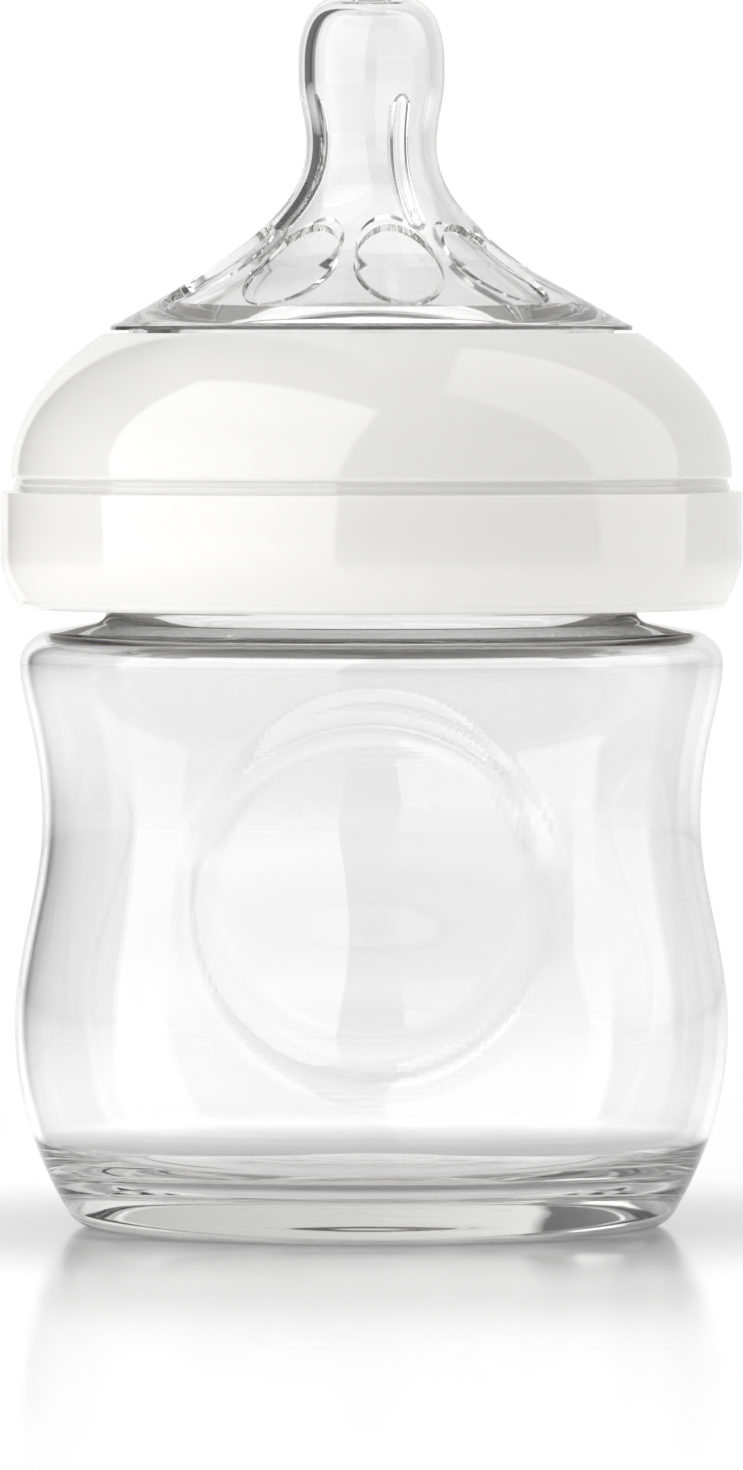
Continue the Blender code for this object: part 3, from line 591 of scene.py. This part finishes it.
def make_rib_tubes(inside):
    """Stiffening ribs, as tubes half sunk in the inside of the shaft and the cone."""
    line = [p for p in inside if RIB_TOP - RIB_LENGTH < p[1] < RIB_TOP]
    curve = bpy.data.curves.new("teat_ribs", "CURVE")
    curve.dimensions = "3D"
    curve.bevel_depth = RIB_RADIUS
    curve.bevel_resolution = 6
    curve.use_fill_caps = True
    for rib in range(RIBS):
        angle = RIB_ANGLE - math.pi / 2 + rib * FULL_TURN / RIBS
        spline = curve.splines.new("POLY")
        spline.points.add(len(line) - 1)
        ends = len(line) - 1
        for index, (point, (radius, height)) in enumerate(zip(spline.points, line)):
            point.co = (radius * math.cos(angle), radius * math.sin(angle), height, 1)
            share = min(1, (index + 0.4) / 3, (ends - index + 0.4) / 3)
            point.radius = math.sqrt(share)
    tubes = new_piece("teat_ribs", curve)
    bpy.context.view_layer.update()
    graph = bpy.context.evaluated_depsgraph_get()
    mesh = bpy.data.meshes.new_from_object(tubes.evaluated_get(graph))
    bpy.data.objects.remove(tubes)
    work = bmesh.new()
    work.from_mesh(mesh)
    bmesh.ops.remove_doubles(work, verts=work.verts, dist=0.0000005)
    bmesh.ops.recalc_face_normals(work, faces=work.faces)
    work.to_mesh(mesh)
    work.free()
    return new_piece("teat_ribs", mesh)


def make_teat_holes():
    """The milk holes, the vents' channels over the rim and the valve slits in the skirt."""

    def build(work):
        for side in (-0.5, 0.5):
            bmesh.ops.create_cone(
                work,
                cap_ends=True,
                segments=24,
                radius1=MILK_HOLE_RADIUS,
                radius2=MILK_HOLE_RADIUS,
                depth=4 * NIPPLE_WALL,
                matrix=Matrix.Translation((side * MILK_HOLE_SPACING, 0, TIP_HEIGHT)),
            )
        reach = FLANGE_RADIUS - SKIRT_RADIUS
        slit_height = (FLANGE_BOTTOM + SKIRT_BOTTOM) / 2
        for turn in (Matrix.Identity(4), Matrix.Rotation(math.pi, 4, "Z")):
            channel = (2 * reach, VENT_CHANNEL_WIDTH, 2 * VENT_CHANNEL_DEPTH, 1)
            place = Matrix.Translation((SKIRT_RADIUS + 0.9 * reach, 0, FLANGE_BOTTOM))
            bmesh.ops.create_cube(work, size=1, matrix=turn @ place @ Matrix.Diagonal(channel))
            slit = (4 * LOCATING_WALL, VENT_SLIT_WIDTH, VENT_SLIT_HEIGHT, 1)
            place = Matrix.Translation((SKIRT_RADIUS, 0, slit_height))
            bmesh.ops.create_cube(work, size=1, matrix=turn @ place @ Matrix.Diagonal(slit))

    return built("teat_holes", build)


def make_bottle():
    piece = turned("clear_bottle", bottle_outline(), BOTTLE_SEGMENTS, shaped=shape_bottle)
    smooth(piece)
    return piece


def make_ring():
    piece = turned("white_ring", ring_outline(), RING_SEGMENTS, closed=True, shaped=shape_ring)
    smooth(piece)
    return piece


def make_teat():
    outside = teat_outside()
    piece = turned("clear_teat", teat_outline(), TEAT_SEGMENTS)
    boolean(piece, make_petal_cutter(outside), "DIFFERENCE")
    boolean(piece, make_rib_tubes(teat_inside(outside)), "UNION")
    boolean(piece, make_teat_holes(), "DIFFERENCE")
    smooth(piece)
    return piece


# ---------------------------------------------------------------- materials


def new_material(name):
    material = bpy.data.materials.new(name)
    material.use_nodes = True
    return material, material.node_tree, material.node_tree.nodes["Principled BSDF"]


def combined(tree, operation, first, second):
    """The output of one Math node on two others."""
    node = tree.nodes.new("ShaderNodeMath")
    node.operation = operation
    tree.links.new(first, node.inputs[0])
    tree.links.new(second, node.inputs[1])
    return node.outputs[0]


def mapped(tree, value, from_min, from_max, to_min, to_max, smooth=False):
    """The output of one Map Range node."""
    node = tree.nodes.new("ShaderNodeMapRange")
    node.interpolation_type = "SMOOTHSTEP" if smooth else "LINEAR"
    tree.links.new(value, node.inputs["Value"])
    node.inputs["From Min"].default_value = from_min
    node.inputs["From Max"].default_value = from_max
    node.inputs["To Min"].default_value = to_min
    node.inputs["To Max"].default_value = to_max
    return node.outputs["Result"]


def absorb(tree, colour, density):
    """A faint grey that shows where the piece is thick."""
    volume = tree.nodes.new("ShaderNodeVolumeAbsorption")
    volume.inputs["Color"].default_value = colour
    volume.inputs["Density"].default_value = density
    tree.links.new(volume.outputs[0], tree.nodes["Material Output"].inputs["Volume"])


def moulded(tree, shader, low, high, scale, depth):
    """Patches of more and less polish, and a ripple `depth` deep; `scale` is patches to the metre."""
    nodes, links = tree.nodes, tree.links
    place = nodes.new("ShaderNodeTexCoord")
    noise = nodes.new("ShaderNodeTexNoise")
    links.new(place.outputs["Object"], noise.inputs["Vector"])
    noise.inputs["Scale"].default_value = scale
    noise.inputs["Detail"].default_value = 3.0
    polish = mapped(tree, noise.outputs["Fac"], 0.3, 0.7, low, high)
    links.new(polish, shader.inputs["Roughness"])
    ripple = nodes.new("ShaderNodeBump")
    ripple.inputs["Strength"].default_value = 1.0
    ripple.inputs["Distance"].default_value = depth
    links.new(noise.outputs["Fac"], ripple.inputs["Height"])
    links.new(ripple.outputs["Normal"], shader.inputs["Normal"])
    return polish


def painted_edge_shade(tree, shader, start, end, level):
    """Painted edge shade: the clear tint darkens where the surface is seen edge on, so less light
    comes through there.
    """
    slant = tree.nodes.new("ShaderNodeLayerWeight")
    edge = mapped(tree, slant.outputs["Facing"], start, end, CLEAR_PASS, level)
    tree.links.new(edge, shader.inputs["Base Color"])


def satin_underside(tree, shader, polish):
    """The moulded foot and its recess are duller underneath."""
    place = tree.nodes.new("ShaderNodeTexCoord")
    split = tree.nodes.new("ShaderNodeSeparateXYZ")
    tilt = tree.nodes.new("ShaderNodeSeparateXYZ")
    tree.links.new(place.outputs["Object"], split.inputs[0])
    tree.links.new(place.outputs["Normal"], tilt.inputs[0])
    low = mapped(tree, split.outputs["Z"], SATIN_TOP, POLISH_START, 1, 0)
    facing_down = mapped(tree, tilt.outputs["Z"], -0.9, -0.6, SATIN_ROUGHNESS, 0)
    dull = combined(tree, "MULTIPLY", low, facing_down)
    tree.links.new(combined(tree, "ADD", polish, dull), shader.inputs["Roughness"])


def clear_plastic():
    material, tree, shader = new_material("clear_polypropylene")
    # painted edge shade on the clear plastic: the tint darkens to 0.5 where seen edge on
    painted_edge_shade(tree, shader, 0.84, 0.95, 0.5)
    satin_underside(tree, shader, moulded(tree, shader, 0.015, 0.04, 60, 0.00002))
    shader.inputs["Transmission Weight"].default_value = 1.0
    shader.inputs["IOR"].default_value = 1.49
    absorb(tree, THICKNESS_GREY, 9)
    return material


def clear_silicone():
    material, tree, shader = new_material("clear_silicone")
    # painted edge shade on the clear silicone: the tint darkens to 0.4 where seen edge on
    painted_edge_shade(tree, shader, 0.75, 0.95, 0.4)
    moulded(tree, shader, 0.02, 0.06, 120, 0.00001)
    shader.inputs["Transmission Weight"].default_value = 1.0
    shader.inputs["IOR"].default_value = 1.41
    absorb(tree, THICKNESS_GREY, 16)
    return material


def white_plastic():
    material, tree, shader = new_material("white_polypropylene")
    shader.inputs["Base Color"].default_value = (0.84, 0.835, 0.825, 1)
    moulded(tree, shader, 0.05, 0.1, 90, 0.00001)
    shader.inputs["Specular IOR Level"].default_value = 0.9
    shader.inputs["Subsurface Weight"].default_value = 0.4
    shader.inputs["Subsurface Radius"].default_value = (1, 0.95, 0.9)
    shader.inputs["Subsurface Scale"].default_value = 0.002
    return material


def by_distance(tree, near, far, near_value, far_value):
    """A value that goes from one level to another with the distance from the bottle's axis."""
    place = tree.nodes.new("ShaderNodeTexCoord")
    length = tree.nodes.new("ShaderNodeVectorMath")
    length.operation = "LENGTH"
    tree.links.new(place.outputs["Object"], length.inputs[0])
    return mapped(tree, length.outputs["Value"], near, far, near_value, far_value, smooth=True)


def floor_material():
    """Glossy white acrylic with a painted glow, as if lit from below round the bottle, and a painted
    shadow under the foot's edge.

    To the camera it is lost in the white further off.
    """
    material, tree, shader = new_material("floor")
    nodes, links = tree.nodes, tree.links
    shader.inputs["Base Color"].default_value = (0.5, 0.5, 0.5, 1)
    shader.inputs["Roughness"].default_value = 0.12
    mirrored = nodes.new("ShaderNodeFresnel")
    mirrored.inputs["IOR"].default_value = 1.5
    clear_of_mirror = mapped(tree, mirrored.outputs[0], 0, 1, 1, 0)
    # painted shadow: the glow drops from its level under the bottle to a low ring at the foot's edge
    under = by_distance(
        tree, FOOT_RADIUS - 0.003, FOOT_RADIUS, FLOOR_PAINTED_GLOW_UNDER, FLOOR_PAINTED_SHADOW
    )
    # painted shade: the glow is lower close to the bottle and rises further out
    around = by_distance(tree, FOOT_RADIUS + 0.002, FLOOR_GLOW_REACH, 0, FLOOR_PAINTED_GLOW_AROUND)
    painted_glow = combined(tree, "MULTIPLY", clear_of_mirror, combined(tree, "ADD", under, around))
    shader.inputs["Emission Color"].default_value = (1, 1, 1, 1)
    links.new(painted_glow, shader.inputs["Emission Strength"])
    path = nodes.new("ShaderNodeLightPath")
    haze = by_distance(tree, HAZE_START, HAZE_END, 0, 1)
    share = combined(tree, "MULTIPLY", haze, path.outputs["Is Camera Ray"])
    white = nodes.new("ShaderNodeEmission")
    mix = nodes.new("ShaderNodeMixShader")
    links.new(share, mix.inputs["Fac"])
    links.new(shader.outputs[0], mix.inputs[1])
    links.new(white.outputs[0], mix.inputs[2])
    links.new(mix.outputs[0], nodes["Material Output"].inputs["Surface"])
    return material


# ---------------------------------------------------------------- stage


def make_floor():
    bpy.ops.mesh.primitive_plane_add(size=FLOOR_SIZE, location=(0, 0, -FLOOR_DROP))
    floor = bpy.context.object
    floor.name = "studio_floor"
    floor.data.materials.append(floor_material())


def make_camera():
    """The eye is level with the ring's dome and looks slightly down, from a little over a metre."""
    data = bpy.data.cameras.new("camera")
    data.lens = LENS
    camera = bpy.data.objects.new("camera", data)
    bpy.context.scene.collection.objects.link(camera)
    camera.location = (0, -EYE_DISTANCE, EYE_HEIGHT)
    look = Vector((0, EYE_DISTANCE, EYE_AIM_HEIGHT - EYE_HEIGHT))
    camera.rotation_euler = look.to_track_quat("-Z", "Y").to_euler()
    bpy.context.scene.camera = camera


def soft_box(name, azimuth, elevation, distance, width, height, radiance):
    """An area light that faces the bottle's middle. Azimuth 0 is in front, 90 is at +X."""
    data = bpy.data.lights.new(name, "AREA")
    data.shape = "RECTANGLE"
    data.size, data.size_y = width, height
    data.energy = radiance * math.pi * width * height
    light = bpy.data.objects.new(name, data)
    bpy.context.scene.collection.objects.link(light)
    turn, rise = math.radians(azimuth), math.radians(elevation)
    away = Vector((math.sin(turn) * math.cos(rise), -math.cos(turn) * math.cos(rise), math.sin(rise)))
    light.location = Vector((0, 0, LIGHT_AIM_HEIGHT)) + away * distance
    light.rotation_euler = (-away).to_track_quat("-Z", "Y").to_euler()
    light.visible_camera = False


def make_world():
    """White behind the bottle and to the camera, dark round the sides and grey overhead."""
    world = bpy.data.worlds.new("studio")
    bpy.context.scene.world = world
    world.use_nodes = True
    nodes, links = world.node_tree.nodes, world.node_tree.links
    background = nodes["Background"]
    place = nodes.new("ShaderNodeTexCoord")
    split = nodes.new("ShaderNodeSeparateXYZ")
    links.new(place.outputs["Generated"], split.inputs[0])
    azimuth = nodes.new("ShaderNodeMath")
    azimuth.operation = "ARCTAN2"
    links.new(split.outputs["X"], azimuth.inputs[0])
    links.new(split.outputs["Y"], azimuth.inputs[1])
    share = nodes.new("ShaderNodeMath")
    share.operation = "MULTIPLY_ADD"
    links.new(azimuth.outputs[0], share.inputs[0])
    share.inputs[1].default_value = 1 / FULL_TURN
    share.inputs[2].default_value = 0.5
    ramp = nodes.new("ShaderNodeValToRGB")
    links.new(share.outputs[0], ramp.inputs[0])
    stops = [
        (-180, STUDIO_GREY),
        (-BACKDROP_EDGE, STUDIO_GREY),
        (-BACKDROP_HALF_ANGLE, 1.0),
        (BACKDROP_HALF_ANGLE, 1.0),
        (BACKDROP_EDGE, STUDIO_GREY),
        (180, STUDIO_GREY),
    ]
    band = ramp.color_ramp
    while len(band.elements) > 1:
        band.elements.remove(band.elements[-1])
    for index, (degrees, level) in enumerate(stops):
        element = band.elements[0] if index == 0 else band.elements.new(0.5)
        element.position = degrees / 360 + 0.5
        element.color = (level, level, level, 1)
    path = nodes.new("ShaderNodeLightPath")
    mix = nodes.new("ShaderNodeMix")
    mix.data_type = "RGBA"
    links.new(path.outputs["Is Camera Ray"], mix.inputs["Factor"])
    overhead = mapped(
        world.node_tree,
        split.outputs["Z"],
        OVERHEAD_START,
        OVERHEAD_FULL,
        0,
        OVERHEAD_GREY,
        smooth=True,
    )
    level = combined(world.node_tree, "MAXIMUM", ramp.outputs["Color"], overhead)
    links.new(level, mix.inputs["A"])
    mix.inputs["B"].default_value = (1, 1, 1, 1)
    links.new(mix.outputs["Result"], background.inputs["Color"])


def make_stage():
    make_floor()
    make_camera()
    make_world()
    soft_box("soft_box_left", -51, 14, 1.1, 1.9, 3.2, 1.5)
    soft_box("soft_box_right", 94, 30, 1.1, 0.9, 2.2, 0.8)
    scene = bpy.context.scene
    scene.view_settings.view_transform = "Standard"
    scene.cycles.max_bounces = BOUNCES
    scene.cycles.glossy_bounces = BOUNCES
    scene.cycles.transmission_bounces = BOUNCES


# ---------------------------------------------------------------- all of it


def main():
    make_stage()
    for make, material, body, node, slot in (
        (make_bottle, clear_plastic, "bottle", "bottle", "clear_plastic"),
        (make_ring, white_plastic, "screw_ring", "screw_ring", "white_plastic"),
        (make_teat, clear_silicone, "teat", "teat", "clear_silicone"),
    ):
        piece = make()
        piece.data.materials.clear()
        piece.data.materials.append(material())
        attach(piece, body)
        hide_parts(node)


main()
